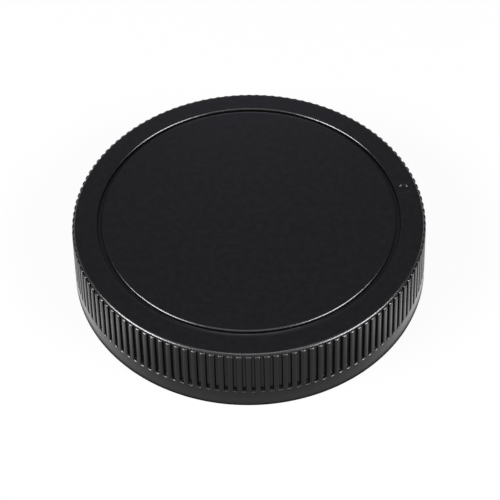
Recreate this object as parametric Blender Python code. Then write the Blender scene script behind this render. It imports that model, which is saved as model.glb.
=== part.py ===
# Rear lens cap, moulded in one piece of matte black plastic.
# Units are metres and +Z is up. The cap stands on its mouth rim with the closed face up, and the origin
# is the centre of that rim's plane.

import math

import bmesh
import bpy
from mathutils import Matrix, Vector

# Sizes from the middle outwards
BORE_RADIUS = 0.0239        # bayonet ring, inside
RING_WALL = 0.0014          # bayonet ring
MOAT_WIDTH = 0.0019         # hollow between the bayonet ring and the skirt
SKIRT_WALL = 0.0017         # skirt, measured to the plain shoulder above the grip
SHOULDER_STEP = 0.0005      # how far the upper ends of the ribs stand out from the shoulder
SIDE_DRAFT = 0.0006         # how far the outside leans in from the rim to the rib tops

# Sizes from the rim upwards
CAVITY_DEPTH = 0.0104       # mouth rim to the inside of the roof
ROOF_THICKNESS = 0.0016
BAND_HEIGHT = 0.0033        # plain band below the grip
SHOULDER_HEIGHT = 0.00005   # plain wall between the rib tops and the rounded edge of the closed face

# Grip of upright ribs with slots between them
RIB_PITCH = 0.00145         # along the outside of the rim
FIRST_SLOT_ANGLE = math.radians(1.65)
SLOT_WIDTH = 0.0007         # at the mouth of a slot
SLOT_DEPTH = 0.00055
SLOT_DRAFT = 0.00008        # narrowing of each side towards the floor
SLOT_END_SLOPE = 0.0001     # rise of the slot's lower end from its lip to its floor
RIB_TOP_ROUND = 0.0003
TOOL_MARGIN = 0.0010        # how far a cutting shape runs past what it cuts

# Closed face
LAND_WIDTH = 0.00386        # flat ring between the groove and the shoulder
GROOVE_WIDTH = 0.00064
GROOVE_DEPTH = 0.00055
EDGE_BREAK = 0.0002         # bevel on the groove's edges
FACE_EDGE_ROUND = 0.0004
RIM_EDGE_BREAK = 0.0001     # outer edge of the rim
MOUTH_EDGE_ROUND = 0.0002   # inner edges of the rim and of the bayonet ring

# Index mark, a round blind recess with a small pit in its floor
INDEX_RADIUS = 0.0009
INDEX_DEPTH = 0.0002
INDEX_INSET = 0.0023        # middle of the mark to the shoulder
PIT_RADIUS = 0.00015
PIT_DEPTH = 0.00015
INDEX_ANGLE = math.radians(10.3)

# Bayonet ring and its claws
RING_SETBACK = 0.0008       # ring mouth above the rim plane
CLAW_COUNT = 3
CLAW_ARC = math.radians(52)
CLAW_LEAD_ARC = math.radians(9)    # the end where the claw thins to a lead-in
CLAW_REACH = 0.0017         # inwards from the bore
CLAW_THICKNESS = 0.0013
CLAW_LEAD_DROP = 0.0006     # thickness that the lead-in takes off
CLAW_SETBACK = 0.0004       # claw above the ring mouth
CLAW_EDGE = 0.0003
FIRST_CLAW_ANGLE = math.radians(64)
STOP_ARC = math.radians(5)  # block that ends the lens's turn
STOP_INSET = math.radians(1)        # from the claw's last end
STOP_HEIGHT = 0.0028

# Webs that tie the bayonet ring to the skirt
WEB_COUNT = 6
WEB_THICKNESS = 0.0010
WEB_SETBACK = 0.0032        # web's lower edge above the rim plane
OVERLAP = 0.0004            # how far joined shapes reach into each other

# Facets round a circle or along an arc
INDEX_STEPS = 24
CLAW_STEPS = 18
STOP_STEPS = 2
ROUND_STEPS = 2
MERGE_DISTANCE = 1e-6       # points nearer than this are one point where a full turn closes

# Values that follow from the sizes above
RING_RADIUS = BORE_RADIUS + RING_WALL
SKIRT_INSIDE = RING_RADIUS + MOAT_WIDTH
SHOULDER_RADIUS = SKIRT_INSIDE + SKIRT_WALL
RIB_TOP_RADIUS = SHOULDER_RADIUS + SHOULDER_STEP
OUTER_RADIUS = RIB_TOP_RADIUS + SIDE_DRAFT
HEIGHT = CAVITY_DEPTH + ROOF_THICKNESS
RIB_TOP = HEIGHT - FACE_EDGE_ROUND - SHOULDER_HEIGHT
RIB_ROUND_START = RIB_TOP - RIB_TOP_ROUND
RIB_COUNT = round(2 * math.pi * OUTER_RADIUS / RIB_PITCH)
GROOVE_OUTSIDE = SHOULDER_RADIUS - LAND_WIDTH
GROOVE_INSIDE = GROOVE_OUTSIDE - GROOVE_WIDTH
INDEX_CENTRE = SHOULDER_RADIUS - INDEX_INSET
CLAW_BOTTOM = RING_SETBACK + CLAW_SETBACK
CLAW_TOP = CLAW_BOTTOM + CLAW_THICKNESS


def arc(centre_r, centre_z, radius, start_deg, end_deg):
    """Points of a round corner in the turning plane, as (r, z)."""
    points = []
    for step in range(ROUND_STEPS + 1):
        angle = math.radians(start_deg + (end_deg - start_deg) * step / ROUND_STEPS)
        points.append((centre_r + radius * math.cos(angle), centre_z + radius * math.sin(angle)))
    return points


def turned(profile, steps, sweep=2 * math.pi, closed_profile=False):
    """Spins an (r, z) profile about the Z axis into one closed body."""
    bm = bmesh.new()
    verts = [bm.verts.new((r, 0.0, z)) for r, z in profile]
    edges = [bm.edges.new(pair) for pair in zip(verts, verts[1:])]
    geometry = verts + edges
    if closed_profile:
        geometry = [bm.faces.new(verts)]
    bmesh.ops.spin(bm, geom=geometry, axis=(0, 0, 1), cent=(0, 0, 0), angle=sweep, steps=steps)
    bmesh.ops.remove_doubles(bm, verts=bm.verts, dist=MERGE_DISTANCE)
    bmesh.ops.recalc_face_normals(bm, faces=bm.faces)
    return bm


def turn_about_axis(bm, angle):
    bmesh.ops.rotate(bm, cent=(0, 0, 0), matrix=Matrix.Rotation(angle, 3, "Z"), verts=bm.verts)


def outside_at(height):
    """Radius of the leaning outside at a height, before the slots are cut."""
    rise = (height - RIM_EDGE_BREAK) / (RIB_ROUND_START - RIM_EDGE_BREAK)
    return OUTER_RADIUS - SIDE_DRAFT * rise


def new_object(name, bm):
    mesh = bpy.data.meshes.new(name)
    bm.to_mesh(mesh)
    bm.free()
    obj = bpy.data.objects.new(name, mesh)
    bpy.context.scene.collection.objects.link(obj)
    return obj


def tool_object(name, bm):
    """A shape that only cuts or adds, and isn't part of the model."""
    obj = new_object(name, bm)
    obj.hide_render = True
    obj.display_type = "WIRE"
    return obj


def body_profile():
    """Half section of the cap, from the middle of the closed face round to the middle of the ceiling."""
    profile = [(0.0, HEIGHT)]

    # Groove between the middle disc and the land
    profile.append((GROOVE_INSIDE - EDGE_BREAK, HEIGHT))
    profile.append((GROOVE_INSIDE, HEIGHT - EDGE_BREAK))
    profile.append((GROOVE_INSIDE, HEIGHT - GROOVE_DEPTH))
    profile.append((GROOVE_OUTSIDE, HEIGHT - GROOVE_DEPTH))
    profile.append((GROOVE_OUTSIDE, HEIGHT - EDGE_BREAK))
    profile.append((GROOVE_OUTSIDE + EDGE_BREAK, HEIGHT))

    # Edge of the closed face, then the shoulder down to the rib tops
    profile += arc(SHOULDER_RADIUS - FACE_EDGE_ROUND, HEIGHT - FACE_EDGE_ROUND, FACE_EDGE_ROUND, 90, 0)
    profile.append((SHOULDER_RADIUS, RIB_TOP))

    # Rounded rib tops and the leaning outside down to the rim
    profile += arc(RIB_TOP_RADIUS - RIB_TOP_ROUND, RIB_ROUND_START, RIB_TOP_ROUND, 90, 0)
    profile.append((OUTER_RADIUS, RIM_EDGE_BREAK))
    profile.append((OUTER_RADIUS - RIM_EDGE_BREAK, 0.0))

    # Rim, skirt inside and moat
    profile.append((SKIRT_INSIDE + MOUTH_EDGE_ROUND, 0.0))
    profile.append((SKIRT_INSIDE, MOUTH_EDGE_ROUND))
    profile.append((SKIRT_INSIDE, CAVITY_DEPTH))
    profile.append((RING_RADIUS, CAVITY_DEPTH))

    # Bayonet ring and the ceiling
    profile.append((RING_RADIUS, RING_SETBACK))
    profile.append((BORE_RADIUS + MOUTH_EDGE_ROUND, RING_SETBACK))
    profile.append((BORE_RADIUS, RING_SETBACK + MOUTH_EDGE_ROUND))
    profile.append((BORE_RADIUS, CAVITY_DEPTH))
    profile.append((0.0, CAVITY_DEPTH))
    return profile


def slot_cutters():
    """One tapered bar for each slot of the grip, leaning with the outside and patterned round the cap."""
    reach = SLOT_DEPTH + TOOL_MARGIN
    widening = SLOT_DRAFT / SLOT_DEPTH
    slope = SLOT_END_SLOPE / SLOT_DEPTH
    half_floor = SLOT_WIDTH / 2 - SLOT_DRAFT
    low_floor = BAND_HEIGHT + SLOT_END_SLOPE
    bar_top = RIB_TOP + SHOULDER_HEIGHT / 2

    bm = bmesh.new()
    for number in range(RIB_COUNT):
        bar = bmesh.ops.create_cube(bm, size=2)["verts"]
        for vert in bar:
            outside = reach if vert.co.x > 0 else 0.0
            side = math.copysign(half_floor + outside * widening, vert.co.y)
            height = bar_top if vert.co.z > 0 else low_floor - outside * slope
            vert.co = Vector((outside_at(height) - SLOT_DEPTH + outside, side, height))
        turn = Matrix.Rotation(2 * math.pi * number / RIB_COUNT, 3, "Z")
        bmesh.ops.rotate(bm, cent=(0, 0, 0), matrix=turn, verts=bar)
    turn_about_axis(bm, FIRST_SLOT_ANGLE)
    return tool_object("slot_cutters", bm)


def index_cutter():
    """Stepped pin that leaves the index recess and its pit."""
    floor = HEIGHT - INDEX_DEPTH
    profile = [
        (0.0, floor - PIT_DEPTH),
        (PIT_RADIUS, floor - PIT_DEPTH),
        (PIT_RADIUS, floor),
        (INDEX_RADIUS, floor),
        (INDEX_RADIUS, HEIGHT + TOOL_MARGIN),
        (0.0, HEIGHT + TOOL_MARGIN),
    ]
    bm = turned(profile, INDEX_STEPS)
    place = Vector((INDEX_CENTRE * math.cos(INDEX_ANGLE), INDEX_CENTRE * math.sin(INDEX_ANGLE), 0.0))
    bmesh.ops.translate(bm, verts=bm.verts, vec=place)
    return tool_object("index_cutter", bm)


def claw(number):
    """Claw that holds a lens lug, thinned to a lead-in at its first end."""
    inside = BORE_RADIUS - CLAW_REACH
    profile = [
        (BORE_RADIUS + OVERLAP, CLAW_BOTTOM),
        (BORE_RADIUS + OVERLAP, CLAW_TOP),
        (inside, CLAW_TOP),
        (inside, CLAW_BOTTOM + CLAW_EDGE),
        (inside + CLAW_EDGE, CLAW_BOTTOM),
    ]
    bm = turned(profile, CLAW_STEPS, CLAW_ARC, closed_profile=True)
    middle = (CLAW_BOTTOM + CLAW_TOP) / 2
    for vert in bm.verts:
        along = math.atan2(vert.co.y, vert.co.x)
        if vert.co.z > middle and along < CLAW_LEAD_ARC:
            vert.co.z -= CLAW_LEAD_DROP * (1 - along / CLAW_LEAD_ARC)
    turn_about_axis(bm, FIRST_CLAW_ANGLE + 2 * math.pi * number / CLAW_COUNT)
    return tool_object(f"claw_{number + 1}", bm)


def turn_stop():
    """Block over the last end of the first claw, which ends the turn of the lens in the cap."""
    inside = BORE_RADIUS - CLAW_REACH + CLAW_EDGE
    profile = [
        (BORE_RADIUS + OVERLAP, CLAW_TOP - OVERLAP),
        (BORE_RADIUS + OVERLAP, CLAW_TOP + STOP_HEIGHT),
        (inside, CLAW_TOP + STOP_HEIGHT),
        (inside, CLAW_TOP - OVERLAP),
    ]
    bm = turned(profile, STOP_STEPS, STOP_ARC, closed_profile=True)
    turn_about_axis(bm, FIRST_CLAW_ANGLE + CLAW_ARC - STOP_INSET - STOP_ARC)
    return tool_object("turn_stop", bm)


def webs():
    """Upright webs across the moat, hanging from the roof."""
    length = MOAT_WIDTH + 2 * OVERLAP
    height = CAVITY_DEPTH + OVERLAP - WEB_SETBACK
    middle = Vector(((RING_RADIUS + SKIRT_INSIDE) / 2, 0.0, WEB_SETBACK + height / 2))
    bm = bmesh.new()
    for number in range(WEB_COUNT):
        turn = Matrix.Rotation(2 * math.pi * (number + 0.5) / WEB_COUNT, 4, "Z")
        size = Matrix.Diagonal((length, WEB_THICKNESS, height, 1.0))
        bmesh.ops.create_cube(bm, size=1, matrix=turn @ Matrix.Translation(middle) @ size)
    return tool_object("webs", bm)


def black_plastic():
    material = bpy.data.materials.new("matte_black_plastic")
    material.use_nodes = True
    shader = material.node_tree.nodes["Principled BSDF"]
    shader.inputs["Base Color"].default_value = (0.014, 0.014, 0.016, 1.0)
    shader.inputs["Roughness"].default_value = 0.55
    shader.inputs["Metallic"].default_value = 0.0
    return material


def build():
    for obj in list(bpy.data.objects):
        bpy.data.objects.remove(obj, do_unlink=True)

    body = turned(body_profile(), RIB_COUNT)
    turn_about_axis(body, FIRST_SLOT_ANGLE)
    cap = new_object("rear_cap", body)
    steps = [(claw(number), "UNION") for number in range(CLAW_COUNT)]
    steps += [(turn_stop(), "UNION"), (webs(), "UNION")]
    steps += [(slot_cutters(), "DIFFERENCE"), (index_cutter(), "DIFFERENCE")]
    for tool, operation in steps:
        boolean = cap.modifiers.new(tool.name, "BOOLEAN")
        boolean.operation = operation
        boolean.object = tool

    # The finished shape becomes the cap's own mesh, and the tools go
    evaluated = cap.evaluated_get(bpy.context.evaluated_depsgraph_get())
    mesh = bpy.data.meshes.new_from_object(evaluated)
    cap.modifiers.clear()
    cap.data = mesh
    for tool, _ in steps:
        bpy.data.objects.remove(tool, do_unlink=True)
    mesh.name = "rear_cap"
    mesh.shade_smooth()
    mesh.set_sharp_from_angle(angle=math.radians(28))
    mesh.materials.clear()
    mesh.materials.append(black_plastic())


build()
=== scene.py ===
import math

import bmesh
import bpy
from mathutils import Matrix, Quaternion, Vector


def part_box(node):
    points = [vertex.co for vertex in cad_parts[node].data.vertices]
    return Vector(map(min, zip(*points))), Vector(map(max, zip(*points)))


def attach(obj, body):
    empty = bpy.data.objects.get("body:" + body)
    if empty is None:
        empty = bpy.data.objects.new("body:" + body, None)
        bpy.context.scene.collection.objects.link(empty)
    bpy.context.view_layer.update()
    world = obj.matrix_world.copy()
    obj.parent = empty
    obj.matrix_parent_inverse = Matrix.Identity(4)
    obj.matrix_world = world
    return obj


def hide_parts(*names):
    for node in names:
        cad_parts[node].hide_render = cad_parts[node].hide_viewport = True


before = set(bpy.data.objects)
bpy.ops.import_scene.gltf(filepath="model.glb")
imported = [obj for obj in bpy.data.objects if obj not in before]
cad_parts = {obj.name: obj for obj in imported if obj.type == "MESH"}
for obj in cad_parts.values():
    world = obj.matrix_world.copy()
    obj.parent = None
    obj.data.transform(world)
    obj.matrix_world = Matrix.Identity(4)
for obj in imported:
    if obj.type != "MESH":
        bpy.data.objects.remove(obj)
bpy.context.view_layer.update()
print("frame loaded")


# how near a vertex has to lie to a place, in metres, to belong to it

near = {
    "ring": 2e-6,
    "border": 1e-5,
    "level": 5e-7,
    "same": 1e-7,
}


# helpers for working in edit mode

def startFresh():
    if bpy.context.mode != "OBJECT":
        bpy.ops.object.mode_set(mode="OBJECT")
    bpy.ops.object.select_all(action="DESELECT")


def makeActive(obj):
    startFresh()
    obj.select_set(True)
    bpy.context.view_layer.objects.active = obj


def enterEdit(obj):
    makeActive(obj)
    bpy.ops.object.mode_set(mode="EDIT")
    bpy.ops.mesh.select_mode(type="VERT")


def leaveEdit():
    bpy.ops.object.mode_set(mode="OBJECT")


def applyPlace(obj):
    makeActive(obj)
    bpy.ops.object.transform_apply(location=True, rotation=True, scale=True)


def pickVerts(obj, wanted):
    mesh = bmesh.from_edit_mesh(obj.data)
    for part in (mesh.verts, mesh.edges, mesh.faces):
        for item in part:
            item.select = False
    for vert in mesh.verts:
        vert.select = wanted(vert)
    mesh.select_flush(True)
    bmesh.update_edit_mesh(obj.data)


def radiusAt(vert):
    return math.hypot(vert.co.x, vert.co.y)


def tidyMesh(obj):
    enterEdit(obj)
    bpy.ops.mesh.select_all(action="SELECT")
    bpy.ops.mesh.remove_doubles(threshold=near["same"])
    bpy.ops.mesh.normals_make_consistent(inside=False)
    leaveEdit()


def quarterRound(radius, steps):
    # points of a quarter circle: how far each lies along its first direction, and how far aside
    angles = [math.pi / 2 * step / steps for step in range(1, steps + 1)]
    return [(radius * math.sin(angle), radius * (1 - math.cos(angle))) for angle in angles]


def turnOnCircle(name, steps, start, profile):
    # extrudes a circle through the points (radius, height) of a profile and closes it in the middle
    startFresh()
    bpy.ops.mesh.primitive_circle_add(vertices=steps, radius=start[0], location=(0, 0, start[1]))
    obj = bpy.context.object
    obj.name = name
    applyPlace(obj)
    enterEdit(obj)
    bpy.ops.mesh.select_all(action="SELECT")
    radius, height = start
    for newRadius, newHeight in profile:
        bpy.ops.mesh.extrude_region_move(TRANSFORM_OT_translate={"value": (0, 0, newHeight - height)})
        factor = newRadius / radius
        bpy.ops.transform.resize(value=(factor, factor, 1), center_override=(0, 0, 0))
        radius, height = newRadius, newHeight
    bpy.ops.mesh.extrude_region_move()
    bpy.ops.mesh.merge(type="CENTER")
    leaveEdit()
    return obj


def roundRings(obj, rings, width, segments, profile=0.5):
    enterEdit(obj)
    for radius, height in rings:
        pickVerts(obj, lambda vert: abs(vert.co.z - height) < near["ring"]
                  and abs(radiusAt(vert) - radius) < near["ring"])
        bpy.ops.mesh.bevel(offset=width, segments=segments, profile=profile, affect="EDGES")
    leaveEdit()


# sizes that several parts share, in metres

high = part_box("rear_cap")[1]

cap = {
    "rimRadius": high.x,
    "height": high.z,
    "shoulderRadius": high.x - 0.0010,
    "ribTopRadius": high.x - 0.0007,
    "ribTop": high.z - 0.0003,
    "ceiling": high.z - 0.0016,
    "turnSteps": 260,
    "bevelAngle": math.radians(40),     # sharper edges than this are softened
    "smoothAngle": math.radians(35),    # and flatter ones are shaded smooth
}


# the outside wall, with its ribs and slots, from the rim up to the land

grip = {
    "ribs": 130,
    "firstSlot": math.radians(1.65),
    "slotDepth": 0.00055,
    "bandHeight": 0.0033,
    "slotEnd": 0.00008,       # rise of a slot's lower end
    "slotEndLag": 0.00006,    # the slot's sides reach their depth this much higher
    # up a slot's lower end: share of its rise, and of the depth in the slot's middle and at its sides
    "slotEndShape": [(0, 0, 0), (0.35, 0.06, 0.03), (0.7, 0.16, 0.1), (0.75, 0.25, 0.2), (1, 1, 0.7)],
    "strip": 0.0003,          # plain strip beside a rounding, so that the wall stays straight
    "ribTopRound": 0.0003,
    "ribTopSteps": 5,
    "faceRound": 0.0005,
    "faceSteps": 6,
    "faceStrip": 0.0001,      # flat strip inside the face's rounded edge
    "rimRound": 0.0001,
    "rimSteps": 4,
    "rimInside": 0.0294,
    "landInside": 0.0281,
    # half of a slot: distance from its centre line, and the rise from its floor to the outside
    "halfWidths": [0.0, 0.00021, 0.00027, 0.00034, 0.00044, 0.00057],
    "rises": [0.0, 0.0, 0.1, 0.8, 0.95, 0.99],
}


def pitchPoints():
    # angle and rise of each point in one pitch, from one slot's centre line to the next
    pitch = 2 * math.pi / grip["ribs"]
    half = [width / cap["rimRadius"] for width in grip["halfWidths"]]
    angles = half + [pitch / 2] + [pitch - angle for angle in half[:0:-1]]
    rises = grip["rises"] + [1.0] + grip["rises"][:0:-1]
    return pitch, angles, rises


def outsideAt(height):
    # the side leans in from the rim to where the rib tops begin to round
    bottom, top = grip["rimRound"], cap["ribTop"] - grip["ribTopRound"]
    return cap["rimRadius"] + (cap["ribTopRadius"] - cap["rimRadius"]) * (height - bottom) / (top - bottom)


def gripStations():
    # height, outside radius, and how far the middle and the sides of a slot have sunk in
    ribRound = cap["ribTop"] - grip["ribTopRound"]
    rimStart, ribStart = cap["rimRadius"] - grip["rimRound"], cap["ribTopRadius"]
    lip, end = grip["bandHeight"], grip["slotEnd"]
    sinking = [(lip - grip["strip"], 0, 0)]
    sinking += [(lip + share * end, middle, side) for share, middle, side in grip["slotEndShape"]]
    sinking += [(lip + end + grip["slotEndLag"], 1, 1), (ribRound - grip["strip"], 1, 1)]
    stations = [(0.0, rimStart, 0, 0)]
    stations += [(up, rimStart + out, 0, 0) for out, up in quarterRound(grip["rimRound"], grip["rimSteps"])]
    stations += [(height, outsideAt(height), middle, side) for height, middle, side in sinking]
    stations += [(ribRound, ribStart, 1, 1)]
    stations += [(ribRound + up, ribStart - inwards, 1, 1)
                 for up, inwards in quarterRound(grip["ribTopRound"], grip["ribTopSteps"])]
    return stations


def buildGrip():
    pitch, angles, rises = pitchPoints()
    count = len(angles)
    size = grip["ribs"] * count
    startFresh()
    bpy.ops.mesh.primitive_circle_add(vertices=size, radius=grip["rimInside"])
    obj = bpy.context.object
    obj.name = "gripWall"
    enterEdit(obj)

    # the points slide round from even spacing to the slots' own spacing
    mesh = bmesh.from_edit_mesh(obj.data)
    even = pitch / count
    kinds = [round(math.atan2(vert.co.y, vert.co.x) / even) % count for vert in mesh.verts]
    for kind in range(1, count):
        pickVerts(obj, lambda vert: kinds[vert.index] == kind)
        bpy.ops.transform.rotate(value=kind * even - angles[kind], orient_axis="Z", center_override=(0, 0, 0))

    def kindOf(vert):
        angle = math.atan2(vert.co.y, vert.co.x) % pitch
        return min(range(count), key=lambda kind: abs((angle - angles[kind] + pitch / 2) % pitch - pitch / 2))

    def climb(now, height, radii):
        # extrudes the open ring upwards, then sets each kind of point at its own radius
        bpy.ops.mesh.extrude_region_move(TRANSFORM_OT_translate={"value": (0, 0, height - now["height"])})
        factors = [round(new / old, 9) for new, old in zip(radii, now["radii"])]
        first = now["first"] + size
        for factor in sorted(set(factors)):
            if factor == 1:
                continue
            if len(set(factors)) > 1:
                pickVerts(obj, lambda vert: vert.index >= first and factors[kindOf(vert)] == factor)
            bpy.ops.transform.resize(value=(factor, factor, 1), center_override=(0, 0, 0))
        if len(set(factors)) > 1:
            pickVerts(obj, lambda vert: vert.index >= first)
        return {"height": height, "radii": radii, "first": first}

    pickVerts(obj, lambda vert: True)
    now = {"height": 0.0, "radii": [grip["rimInside"]] * count, "first": 0}
    for height, outside, middleSunk, sideSunk in gripStations():
        floorRadius = outsideAt(height) - grip["slotDepth"]
        radii = []
        for rise in rises:
            sunk = sideSunk if 0 < rise < 1 else middleSunk
            radii.append(outside - sunk * (1 - rise) * (outside - floorRadius))
        now = climb(now, height, radii)

    # rounded edge of the closed face above the rib tops, and the outer part of the land
    shoulder, top, edge, steps = cap["shoulderRadius"], cap["height"], grip["faceRound"], grip["faceSteps"]
    start = math.asin((cap["ribTop"] - top + edge) / edge)
    for step in range(steps + 1):
        angle = start + (math.pi / 2 - start) * step / steps
        radius = shoulder - edge + edge * math.cos(angle)
        now = climb(now, top - edge + edge * math.sin(angle), [radius] * count)
    now = climb(now, top, [shoulder - edge - grip["faceStrip"]] * count)
    climb(now, top, [grip["landInside"]] * count)
    leaveEdit()
    return obj


# the closed face with its groove

closedFace = {
    "start": 0.0279,          # outer border, filled up to the grip's land
    "grooveOutside": 0.02504,
    "grooveInside": 0.0244,
    "grooveDepth": 0.0007,
    "edgeRound": 0.0002,
    "edgeSteps": 6,
    "edgeShape": 0.36,        # flatter than a quarter circle, which is 0.5
    "floorRound": 0.00003,
    "floorSteps": 2,
    "strip": 0.0004,          # plain strip beside a rounded edge, so that the flats stay flat
    "middle": 0.012,          # last ring before the centre
}


def buildClosedFace():
    top, floor, strip = cap["height"], cap["height"] - closedFace["grooveDepth"], closedFace["strip"]
    outside, inner = closedFace["grooveOutside"], closedFace["grooveInside"]
    obj = turnOnCircle("closedFace", cap["turnSteps"], (closedFace["start"], top), [
        (outside + strip, top),
        (outside, top),
        (outside, floor),
        (inner, floor),
        (inner, top),
        (inner - strip, top),
        (closedFace["middle"], top),
    ])
    roundRings(obj, [(outside, top), (inner, top)],
               closedFace["edgeRound"], closedFace["edgeSteps"], closedFace["edgeShape"])
    roundRings(obj, [(outside, floor), (inner, floor)], closedFace["floorRound"], closedFace["floorSteps"])
    return obj


# the open side: rim, skirt, moat, bayonet ring and ceiling

inside = {
    "start": 0.0291,          # outer border, filled up to the grip's rim
    "skirt": 0.0272,
    "ringOutside": 0.0253,
    "bore": 0.0239,
    "ringMouth": 0.0008,
    "edgeRound": 0.0002,
    "rootRound": 0.0005,
    "roundSteps": 4,
    "strip": 0.0006,
    "middle": 0.012,          # last ring before the centre
}


def buildInside():
    skirt, ring, bore = inside["skirt"], inside["ringOutside"], inside["bore"]
    mouth, ceiling, strip = inside["ringMouth"], cap["ceiling"], inside["strip"]
    obj = turnOnCircle("openSide", cap["turnSteps"], (inside["start"], 0.0), [
        (skirt + strip, 0.0),
        (skirt, 0.0),
        (skirt, strip),
        (skirt, ceiling - 2 * strip),
        (skirt, ceiling),
        (ring, ceiling),
        (ring, ceiling - 2 * strip),
        (ring, mouth + strip),
        (ring, mouth),
        (bore, mouth),
        (bore, mouth + strip),
        (bore, ceiling - 2 * strip),
        (bore, ceiling),
        (bore - 2 * strip, ceiling),
        (inside["middle"], ceiling),
    ])
    steps = inside["roundSteps"]
    roundRings(obj, [(skirt, 0.0), (ring, mouth), (bore, mouth)], inside["edgeRound"], steps)
    roundRings(obj, [(skirt, ceiling), (ring, ceiling), (bore, ceiling)], inside["rootRound"], steps)
    return obj


def fillBetween(obj, radii, height):
    # closes the flat gap between two open rings
    enterEdit(obj)
    pickVerts(obj, lambda vert: vert.is_boundary and abs(vert.co.z - height) < near["ring"]
              and min(abs(radiusAt(vert) - radius) for radius in radii) < near["border"])
    bpy.ops.mesh.fill(use_beauty=True)
    leaveEdit()


def buildShell():
    parts = [buildGrip(), buildClosedFace(), buildInside()]
    startFresh()
    for part in parts:
        part.select_set(True)
    shell = parts[0]
    bpy.context.view_layer.objects.active = shell
    bpy.ops.object.join()
    shell.name = "lensCap"
    shell.data.name = "lensCap"
    fillBetween(shell, (grip["landInside"], closedFace["start"]), cap["height"])
    fillBetween(shell, (grip["rimInside"], inside["start"]), 0.0)
    shell.rotation_euler = (0, 0, grip["firstSlot"])
    applyPlace(shell)
    tidyMesh(shell)
    return shell


capPiece = buildShell()
print("shell made:", len(capPiece.data.polygons), "faces")


# bayonet claws, the stop that ends the lens's turn, and the webs across the moat

claws = {
    "count": 3,
    "first": math.radians(64),
    "arc": math.radians(52),
    "leadArc": math.radians(9),
    "leadDrop": 0.0006,
    "reach": 0.0017,
    "bottom": 0.0012,
    "top": 0.0025,
    "overlap": 0.0004,
    "edge": 0.0003,
    "soften": 0.00012,
    "steps": 26,
}

stop = {
    "arc": math.radians(5),
    "inset": math.radians(1),
    "height": 0.0028,
    "steps": 3,
}

webs = {
    "count": 6,
    "thickness": 0.0010,
    "bottom": 0.0032,
    "overlap": 0.0004,
    "soften": 0.0002,
}


def spinSection(name, inner, outer, bottom, top, arc, steps, edge=0.0):
    # an upright rectangle, with its lower inner corner cut, spun about the cap's axis
    startFresh()
    bpy.ops.mesh.primitive_plane_add(size=1, location=((inner + outer) / 2, 0, (bottom + top) / 2),
                                     rotation=(math.pi / 2, 0, 0))
    obj = bpy.context.object
    obj.name = name
    obj.scale = (outer - inner, top - bottom, 1)
    applyPlace(obj)
    enterEdit(obj)
    if edge:
        pickVerts(obj, lambda vert: vert.co.x < (inner + outer) / 2 and vert.co.z < (bottom + top) / 2)
        bpy.ops.mesh.bevel(offset=edge, segments=1, affect="VERTICES")
    bpy.ops.mesh.select_all(action="SELECT")
    bpy.ops.mesh.spin(steps=steps, angle=-arc, center=(0, 0, 0), axis=(0, 0, 1))
    leaveEdit()
    tidyMesh(obj)
    return obj


def soften(obj, width, segments=3):
    bevel = obj.modifiers.new("soften", "BEVEL")
    bevel.width = width
    bevel.segments = segments
    bevel.limit_method = "ANGLE"
    bevel.angle_limit = cap["bevelAngle"]
    makeActive(obj)
    bpy.ops.object.modifier_apply(modifier=bevel.name)


def buildClaw(number):
    inner, outer = inside["bore"] - claws["reach"], inside["bore"] + claws["overlap"]
    obj = spinSection(f"claw{number + 1}", inner, outer, claws["bottom"], claws["top"], claws["arc"],
                      claws["steps"], claws["edge"])
    # the first end thins to a lead-in for the lens's lug
    step = claws["arc"] / claws["steps"]
    middle = (claws["bottom"] + claws["top"]) / 2
    enterEdit(obj)
    for station in range(math.ceil(claws["leadArc"] / step)):
        along = station * step
        pickVerts(obj, lambda vert: vert.co.z > middle
                  and abs(math.atan2(vert.co.y, vert.co.x) - along) < step / 4)
        drop = claws["leadDrop"] * (1 - along / claws["leadArc"])
        bpy.ops.transform.translate(value=(0, 0, -drop))
    leaveEdit()
    soften(obj, claws["soften"])
    obj.rotation_euler = (0, 0, claws["first"] + 2 * math.pi * number / claws["count"])
    applyPlace(obj)
    return obj


def buildStop():
    inner, outer = inside["bore"] - claws["reach"] + claws["edge"], inside["bore"] + claws["overlap"]
    bottom, top = claws["top"] - claws["overlap"], claws["top"] + stop["height"]
    obj = spinSection("turnStop", inner, outer, bottom, top, stop["arc"], stop["steps"])
    soften(obj, claws["soften"])
    obj.rotation_euler = (0, 0, claws["first"] + claws["arc"] - stop["inset"] - stop["arc"])
    applyPlace(obj)
    return obj


def buildWeb(number):
    inner, outer = inside["ringOutside"] - webs["overlap"], inside["skirt"] + webs["overlap"]
    top = cap["ceiling"] + webs["overlap"]
    angle = 2 * math.pi * (number + 0.5) / webs["count"]
    middle = (inner + outer) / 2
    startFresh()
    bpy.ops.mesh.primitive_cube_add(size=1, rotation=(0, 0, angle), location=(
        middle * math.cos(angle), middle * math.sin(angle), (webs["bottom"] + top) / 2))
    obj = bpy.context.object
    obj.name = f"web{number + 1}"
    obj.scale = (outer - inner, webs["thickness"], top - webs["bottom"])
    applyPlace(obj)
    soften(obj, webs["soften"])
    return obj


# the round index mark, cut into the land

index = {
    "radius": 0.0009,
    "depth": 0.0002,
    "edgeRound": 0.00004,
    "edgeSteps": 4,
    "pitRadius": 0.00018,
    "pitDepth": 0.00018,
    "distance": 0.0266,
    "angle": math.radians(10.3),
    "steps": 48,
    "above": 0.001,           # how far the cutter stands above the face
}


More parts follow.
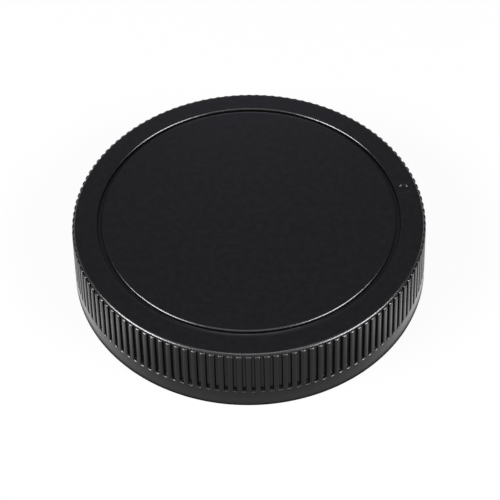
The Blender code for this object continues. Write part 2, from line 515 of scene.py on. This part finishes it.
def buildIndexCutter():
    top, edge = cap["height"], index["edgeRound"]
    floor, pit = top - index["depth"], index["pitRadius"]
    outside = index["radius"] + edge
    profile = [(outside, top)]
    profile += [(outside - inwards, top - down) for inwards, down in quarterRound(edge, index["edgeSteps"])]
    profile += [
        (index["radius"], floor + edge / 2),
        (index["radius"] - edge / 2, floor),
        (pit, floor),
        (pit, floor - index["pitDepth"]),
    ]
    obj = turnOnCircle("indexCutter", index["steps"], (outside, top + index["above"]), profile)
    enterEdit(obj)
    pickVerts(obj, lambda vert: vert.is_boundary)
    bpy.ops.mesh.edge_face_add()
    leaveEdit()
    distance, angle = index["distance"], index["angle"]
    obj.location = (distance * math.cos(angle), distance * math.sin(angle), 0)
    applyPlace(obj)
    tidyMesh(obj)
    return obj


def combine(target, tool, operation):
    boolean = target.modifiers.new(tool.name, "BOOLEAN")
    boolean.operation = operation
    boolean.solver = "MANIFOLD"
    boolean.object = tool
    makeActive(target)
    bpy.ops.object.modifier_apply(modifier=boolean.name)
    bpy.data.objects.remove(tool, do_unlink=True)


def makeLevel(obj, height):
    # puts the vertices of a flat face exactly level again after the cuts
    enterEdit(obj)
    pickVerts(obj, lambda vert: abs(vert.co.z - height) < near["level"])
    bpy.ops.transform.resize(value=(1, 1, 0), center_override=(0, 0, height))
    bpy.ops.mesh.select_all(action="SELECT")
    bpy.ops.mesh.dissolve_degenerate(threshold=near["same"])
    leaveEdit()


added = [buildClaw(number) for number in range(claws["count"])] + [buildStop()]
added += [buildWeb(number) for number in range(webs["count"])]
for tool in added:
    combine(capPiece, tool, "UNION")
combine(capPiece, buildIndexCutter(), "DIFFERENCE")
print("claws, webs and index made:", len(capPiece.data.polygons), "faces")

for level in (cap["height"], cap["ceiling"], 0.0):
    makeLevel(capPiece, level)
makeActive(capPiece)
bpy.ops.object.shade_smooth_by_angle(angle=cap["smoothAngle"])


# helpers for materials and light

def newMaterial(name):
    material = bpy.data.materials.new(name)
    material.use_nodes = True
    return material, material.node_tree.nodes, material.node_tree.links


def addFade(nodes, links, value, numbers):
    # as the value goes from the first number to the second, the result goes from the third to the fourth
    fade = nodes.new("ShaderNodeMapRange")
    fade.interpolation_type = "SMOOTHSTEP"
    for name, number in zip(("From Min", "From Max", "To Min", "To Max"), numbers):
        fade.inputs[name].default_value = number
    links.new(value, fade.inputs["Value"])
    return fade.outputs["Result"]


def addNoise(nodes, links, place, size, detail):
    noise = nodes.new("ShaderNodeTexNoise")
    noise.inputs["Scale"].default_value = 1 / size
    noise.inputs["Detail"].default_value = detail
    links.new(place.outputs["Object"], noise.inputs["Vector"])
    return noise.outputs["Fac"]


def addMath(nodes, links, operation, *values):
    # each value is a number or another node's output
    step = nodes.new("ShaderNodeMath")
    step.operation = operation
    for socket, value in zip(step.inputs, values):
        if isinstance(value, bpy.types.NodeSocket):
            links.new(value, socket)
        else:
            socket.default_value = value
    return step.outputs[0]


def addMix(nodes, links, share, first, second):
    mix = nodes.new("ShaderNodeMixShader")
    for socket, value in zip(mix.inputs, (share, first, second)):
        links.new(value, socket)
    return mix.outputs[0]


# matte black plastic

plastic = {
    "colour": (0.0011, 0.0011, 0.0013),
    "ior": 1.6,
    "roughness": (0.21, 0.27),    # smallest and largest, in patches of this size
    "patchSize": 0.0011,
    "patchDetail": 3,
    "patchRange": (0.3, 0.7),     # the part of the noise that is spread over them
    "grainSize": 0.00013,
    "grainDepth": 0.000012,
    "waveSize": 0.0014,           # slight unevenness of the moulded faces
    "waveDepth": 0.000008,
    "bumpDetail": 2,
}


def buildPlastic():
    material, nodes, links = newMaterial("blackPlastic")
    shader = nodes["Principled BSDF"]
    shader.inputs["Base Color"].default_value = (*plastic["colour"], 1)
    shader.inputs["IOR"].default_value = plastic["ior"]
    place = nodes.new("ShaderNodeTexCoord")
    patches = addNoise(nodes, links, place, plastic["patchSize"], plastic["patchDetail"])
    roughness = addFade(nodes, links, patches, (*plastic["patchRange"], *plastic["roughness"]))
    links.new(roughness, shader.inputs["Roughness"])
    normal = None
    for size, depth in (("waveSize", "waveDepth"), ("grainSize", "grainDepth")):
        bump = nodes.new("ShaderNodeBump")
        bump.inputs["Distance"].default_value = plastic[depth]
        bump.inputs["Strength"].default_value = 1
        height = addNoise(nodes, links, place, plastic[size], plastic["bumpDetail"])
        links.new(height, bump.inputs["Height"])
        if normal:
            links.new(normal, bump.inputs["Normal"])
        normal = bump.outputs["Normal"]
    links.new(normal, shader.inputs["Normal"])
    return material


capPiece.data.materials.clear()
capPiece.data.materials.append(buildPlastic())
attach(capPiece, "root")
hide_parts("rear_cap")
print("material made")


# floor, light and camera

studio = {
    "floorSize": 6.0,
    "floorDrop": 0.00002,     # gap between the cap's rim and the floor
    "floorColour": (0.04, 0.04, 0.04),
    "floorGlow": 0.905,       # what the camera sees on top of the lit floor
    "mirrorFront": 0.38,      # painted brightness of the floor in reflections in front of the cap, dim there as painted shade
    "mirrorSide": 1.15,       # painted light that comes on top beside the cap, growing with a power of the distance
    "mirrorPower": 6.0,
    "mirrorReach": 0.030,     # distance from the middle plane where it is all there
    "mirrorLimit": 0.0292,    # and where it grows no more
    # changes of that painted brightness, each from one distance to another with the share before and after
    # it: the end of the cap's painted shadow and the painted dimming further out go by the distance from the
    # axis, the painted dimming beside the cap by the distance from the middle plane
    "mirrorShade": (0.0300, 0.0304, 0.0, 1.0),
    "mirrorDimming": (0.0306, 0.0340, 1.0, 0.88),
    "mirrorAside": (0.0292, 0.0325, 1.0, 0.75),
    "mirrorMouth": (0.0285, 0.0290, 1.2, 0.0),    # painted light under the mouth, lighting the inside in reflections for a look in from below
    "lampDistance": 0.5,
    "lampSize": (0.30, 0.17),
    "lampHeight": math.radians(37),
    "lampSides": (math.radians(203), math.radians(331)),
    "lampPowers": (4.4, 3.8),
    "skyFront": 0.65,         # brightness of the surroundings, in front and behind
    "skyBack": 0.161,
    "backTint": (0.97, 0.97, 1.13),
    "frontTo": -0.25,         # how far back each direction points, from the front's end to the back's start
    "backFrom": 0.2,
    # round glows: way to the middle, cosines of the angles at the edge and at full brightness, brightness
    "glows": [
        ((0.0, -0.05, 0.999), 0.94, 0.985, 3.2),
        ((0.0, 0.87, 0.493), 0.98, 1.0, 0.72),
    ],
}


def addPaintedFloorReflection(nodes, links):
    # painted reflection of the floor, a glow that only reflections see: painted shade in front of the cap,
    # painted light beside it, and painted shadow of the cap round its rim
    place = nodes.new("ShaderNodeNewGeometry")
    split = nodes.new("ShaderNodeSeparateXYZ")
    links.new(place.outputs["Position"], split.inputs[0])
    length = nodes.new("ShaderNodeVectorMath")
    length.operation = "LENGTH"
    links.new(place.outputs["Position"], length.inputs[0])
    distance = length.outputs["Value"]
    aside = addMath(nodes, links, "ABSOLUTE", split.outputs["X"])
    share = addMath(nodes, links, "MINIMUM", aside, studio["mirrorLimit"])
    share = addMath(nodes, links, "DIVIDE", share, studio["mirrorReach"])
    share = addMath(nodes, links, "POWER", share, studio["mirrorPower"])
    brightness = addMath(nodes, links, "MULTIPLY_ADD", share, studio["mirrorSide"], studio["mirrorFront"])
    # painted shadow of the cap, painted dimming further out, and painted dimming beside the cap
    for value, change in ((distance, "mirrorShade"), (distance, "mirrorDimming"), (aside, "mirrorAside")):
        dimming = addFade(nodes, links, value, studio[change])
        brightness = addMath(nodes, links, "MULTIPLY", brightness, dimming)
    # painted light under the mouth, which reflections carry into the inside
    mouth = addFade(nodes, links, distance, studio["mirrorMouth"])
    # the floor glows with this painted light and shade, for reflections only
    paintedReflection = nodes.new("ShaderNodeEmission")
    links.new(addMath(nodes, links, "ADD", brightness, mouth), paintedReflection.inputs["Strength"])
    return paintedReflection.outputs[0]


def buildFloor():
    startFresh()
    bpy.ops.mesh.primitive_plane_add(size=studio["floorSize"], location=(0, 0, -studio["floorDrop"]))
    floor = bpy.context.object
    floor.name = "floor"
    material, nodes, links = newMaterial("floorWhite")
    nodes.remove(nodes["Principled BSDF"])
    path = nodes.new("ShaderNodeLightPath")
    diffuse = nodes.new("ShaderNodeBsdfDiffuse")
    diffuse.inputs["Color"].default_value = (*studio["floorColour"], 1)
    glow = nodes.new("ShaderNodeEmission")
    strength = addMath(nodes, links, "MULTIPLY", path.outputs["Is Camera Ray"], studio["floorGlow"])
    links.new(strength, glow.inputs["Strength"])
    lit = nodes.new("ShaderNodeAddShader")
    links.new(diffuse.outputs[0], lit.inputs[0])
    links.new(glow.outputs[0], lit.inputs[1])
    paintedReflection = addPaintedFloorReflection(nodes, links)
    # reflections see the painted floor reflection instead of the lit floor
    surface = addMix(nodes, links, path.outputs["Is Glossy Ray"], lit.outputs[0], paintedReflection)

    # from below the floor can be seen through, so that the mouth can be looked into
    side = nodes.new("ShaderNodeNewGeometry")
    clear = nodes.new("ShaderNodeBsdfTransparent")
    surface = addMix(nodes, links, side.outputs["Backfacing"], surface, clear.outputs[0])
    links.new(surface, nodes["Material Output"].inputs["Surface"])
    floor.data.materials.append(material)


def buildWorld():
    world = bpy.data.worlds.new("studio")
    bpy.context.scene.world = world
    world.use_nodes = True
    nodes, links = world.node_tree.nodes, world.node_tree.links
    sky = nodes["Background"]
    place = nodes.new("ShaderNodeTexCoord")
    split = nodes.new("ShaderNodeSeparateXYZ")
    links.new(place.outputs["Generated"], split.inputs[0])

    turn = (studio["frontTo"], studio["backFrom"])
    brightness = addFade(nodes, links, split.outputs["Y"], (*turn, studio["skyFront"], studio["skyBack"]))
    tint = nodes.new("ShaderNodeMix")
    tint.data_type = "RGBA"
    links.new(addFade(nodes, links, split.outputs["Y"], (*turn, 0.0, 1.0)), tint.inputs["Factor"])
    tint.inputs["A"].default_value = (1, 1, 1, 1)
    tint.inputs["B"].default_value = (*studio["backTint"], 1)
    links.new(tint.outputs["Result"], sky.inputs["Color"])
    for way, edge, full, strength in studio["glows"]:
        along = nodes.new("ShaderNodeVectorMath")
        along.operation = "DOT_PRODUCT"
        along.inputs[1].default_value = way
        links.new(place.outputs["Generated"], along.inputs[0])
        glow = addFade(nodes, links, along.outputs["Value"], (edge, full, 0.0, strength))
        brightness = addMath(nodes, links, "ADD", brightness, glow)
    links.new(brightness, sky.inputs["Strength"])

    # the camera sees plain white
    path = nodes.new("ShaderNodeLightPath")
    white = nodes.new("ShaderNodeBackground")
    white.inputs["Color"].default_value = (1, 1, 1, 1)
    surface = addMix(nodes, links, path.outputs["Is Camera Ray"], sky.outputs[0], white.outputs[0])
    links.new(surface, nodes["World Output"].inputs["Surface"])


def addLamp(name, side, power):
    height, distance = studio["lampHeight"], studio["lampDistance"]
    away = Vector((math.cos(side) * math.cos(height), math.sin(side) * math.cos(height), math.sin(height)))
    startFresh()
    bpy.ops.object.light_add(type="AREA", location=away * distance)
    lamp = bpy.context.object
    lamp.name = name
    lamp.rotation_euler = (-away).to_track_quat("-Z", "Y").to_euler()
    lamp.data.shape = "RECTANGLE"
    lamp.data.size, lamp.data.size_y = studio["lampSize"]
    lamp.data.energy = power


camera = {
    "place": (0.0, -0.13962, 0.16676),
    "aim": (0.00009, 0.00216, 0.0),
    "lens": 90.48,
    "sensor": 36.0,
    "roll": math.radians(-1.322),
    "clipStart": 0.01,
}


def addCamera():
    startFresh()
    bpy.ops.object.camera_add(location=camera["place"])
    obj = bpy.context.object
    look = Vector(camera["aim"]) - Vector(camera["place"])
    turn = look.to_track_quat("-Z", "Y") @ Quaternion((0, 0, 1), camera["roll"])
    obj.rotation_mode = "QUATERNION"
    obj.rotation_quaternion = turn
    obj.data.lens = camera["lens"]
    obj.data.sensor_width = camera["sensor"]
    obj.data.clip_start = camera["clipStart"]
    bpy.context.scene.camera = obj


buildFloor()
buildWorld()
for name, side, power in zip(("leftLamp", "rightLamp"), studio["lampSides"], studio["lampPowers"]):
    addLamp(name, side, power)
addCamera()
bpy.context.scene.view_settings.view_transform = "Standard"
print("studio made")
